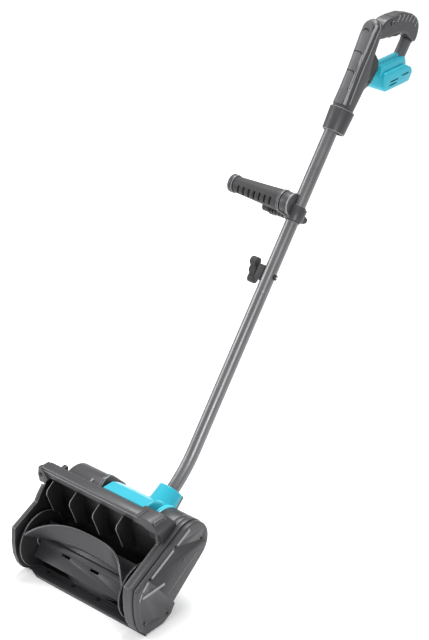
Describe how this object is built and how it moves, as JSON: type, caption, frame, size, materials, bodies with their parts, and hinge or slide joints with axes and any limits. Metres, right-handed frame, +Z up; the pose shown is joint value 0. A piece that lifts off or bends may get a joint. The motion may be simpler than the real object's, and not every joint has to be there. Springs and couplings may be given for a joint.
{
  "type": "battery snow blower",
  "caption": "Push snow blower: belt-driven scoop rotor in an open head, long bent tube with a sliding side grip and a closed rear handle with a battery bay.",
  "frame": {"origin": "on the ground below the middle of the whole machine", "axes": "+X towards the belt drive side, -Y out of the mouth of the scoop, +Y back towards the handle, +Z up"},
  "size_m": [0.348, 0.9882, 1.0194],
  "materials": {
    "dark_plastic": "moulded plastic with a fine grain",
    "black_plastic": "plain moulded plastic",
    "soft_rubber": "soft overmould",
    "teal_plastic": "satin moulded plastic",
    "bright_steel": "turned and plated steel",
    "painted_tube": "powder coated steel tube",
    "circuit_board": "lacquered board"
  },
  "bodies": {
    "machine": {"scoop_shell": "dark_plastic", "side_plate_left": "dark_plastic", "side_plate_right": "dark_plastic", "top_flange": "dark_plastic", "scraper_bar": "dark_plastic", "scraper_screws": "bright_steel", "deflector_vanes": "black_plastic", "motor_housing": "dark_plastic", "motor_end_cap": "dark_plastic", "socket_cover": "teal_plastic", "socket_base": "dark_plastic", "belt_case": "dark_plastic", "belt_cover": "dark_plastic", "belt_cover_screws": "bright_steel", "flange_screws": "bright_steel", "motor_can": "bright_steel", "motor_plate": "bright_steel", "drive_belt": "soft_rubber", "bearing_left": "bright_steel", "bearing_right": "bright_steel", "lower_tube": "painted_tube", "tube_spigot": "bright_steel", "upper_tube": "painted_tube", "joint_bolt": "bright_steel", "joint_nut": "bright_steel", "joint_saddle": "black_plastic", "power_cable": "soft_rubber", "handle_collar": "dark_plastic", "handle_shell_left": "dark_plastic", "handle_shell_right": "dark_plastic", "front_panel": "soft_rubber", "loop_grip": "soft_rubber", "rear_post": "dark_plastic", "battery_housing": "teal_plastic", "bay_rails": "black_plastic", "terminal_block": "black_plastic", "trigger_spring": "bright_steel", "switch_body": "black_plastic", "control_board": "circuit_board", "handle_screws": "bright_steel"},
    "rotor": {"rotor_shaft": "bright_steel", "rotor_disc_left": "dark_plastic", "rotor_disc_right": "dark_plastic", "rotor_scoops": "dark_plastic", "rotor_paddle": "dark_plastic", "driven_pulley": "black_plastic"},
    "motor_rotor": {"motor_shaft": "bright_steel", "drive_pulley": "black_plastic"},
    "tube_knob": {"joint_knob": "black_plastic"},
    "grip_slider": {"clamp_liner": "black_plastic"},
    "side_grip": {"clamp_body": "dark_plastic", "clamp_cap": "dark_plastic", "clamp_bolt": "bright_steel", "grip_core": "black_plastic", "grip_sleeve": "soft_rubber", "grip_end_cap": "dark_plastic"},
    "grip_knob": {"clamp_knob": "black_plastic"},
    "trigger_lever": {"trigger": "black_plastic"},
    "safety_button": {"lock_button": "black_plastic"}
  },
  "joints": [
    {"name": "rotor_spin", "type": "hinge", "parent": "machine", "child": "rotor", "pos_m": [-0.014, -0.43112, 0.068], "axis": [1, 0, 0], "continuous": true},
    {"name": "motor_spin", "type": "hinge", "parent": "machine", "child": "motor_rotor", "pos_m": [-0.014, -0.33112, 0.145], "axis": [1, 0, 0], "continuous": true},
    {"name": "tube_knob_turn", "type": "hinge", "parent": "machine", "child": "tube_knob", "pos_m": [0.061, 0.03179, 0.56252], "axis": [-1, 0, 0], "range_deg": [0, 720]},
    {"name": "grip_slide", "type": "slide", "parent": "machine", "child": "grip_slider", "axis": [0, 0.6018, 0.7986], "range_m": [-0.06, 0.12]},
    {"name": "grip_swing", "type": "hinge", "parent": "grip_slider", "child": "side_grip", "pos_m": [0.061, 0.11304, 0.67034], "axis": [0, 0.6018, 0.7986], "range_deg": [-90, 180]},
    {"name": "grip_knob_turn", "type": "hinge", "parent": "side_grip", "child": "grip_knob", "pos_m": [0.061, 0.1298, 0.6527], "axis": [-1, 0, 0], "range_deg": [0, 720]},
    {"name": "trigger_pull", "type": "hinge", "parent": "machine", "child": "trigger_lever", "pos_m": [0.061, 0.39754, 0.97809], "axis": [1, 0, 0], "range_deg": [0, 8], "stiffness_Nm_per_rad": 0.5, "springref_deg": -11.46},
    {"name": "safety_push", "type": "slide", "parent": "machine", "child": "safety_button", "axis": [-1, 0, 0], "range_m": [0, 0.0035], "stiffness_N_per_m": 150, "springref_m": -0.002}
  ],
  "couplings": [
    {"joint": "motor_spin", "follows": "rotor_spin", "ratio": 3}
  ]
}
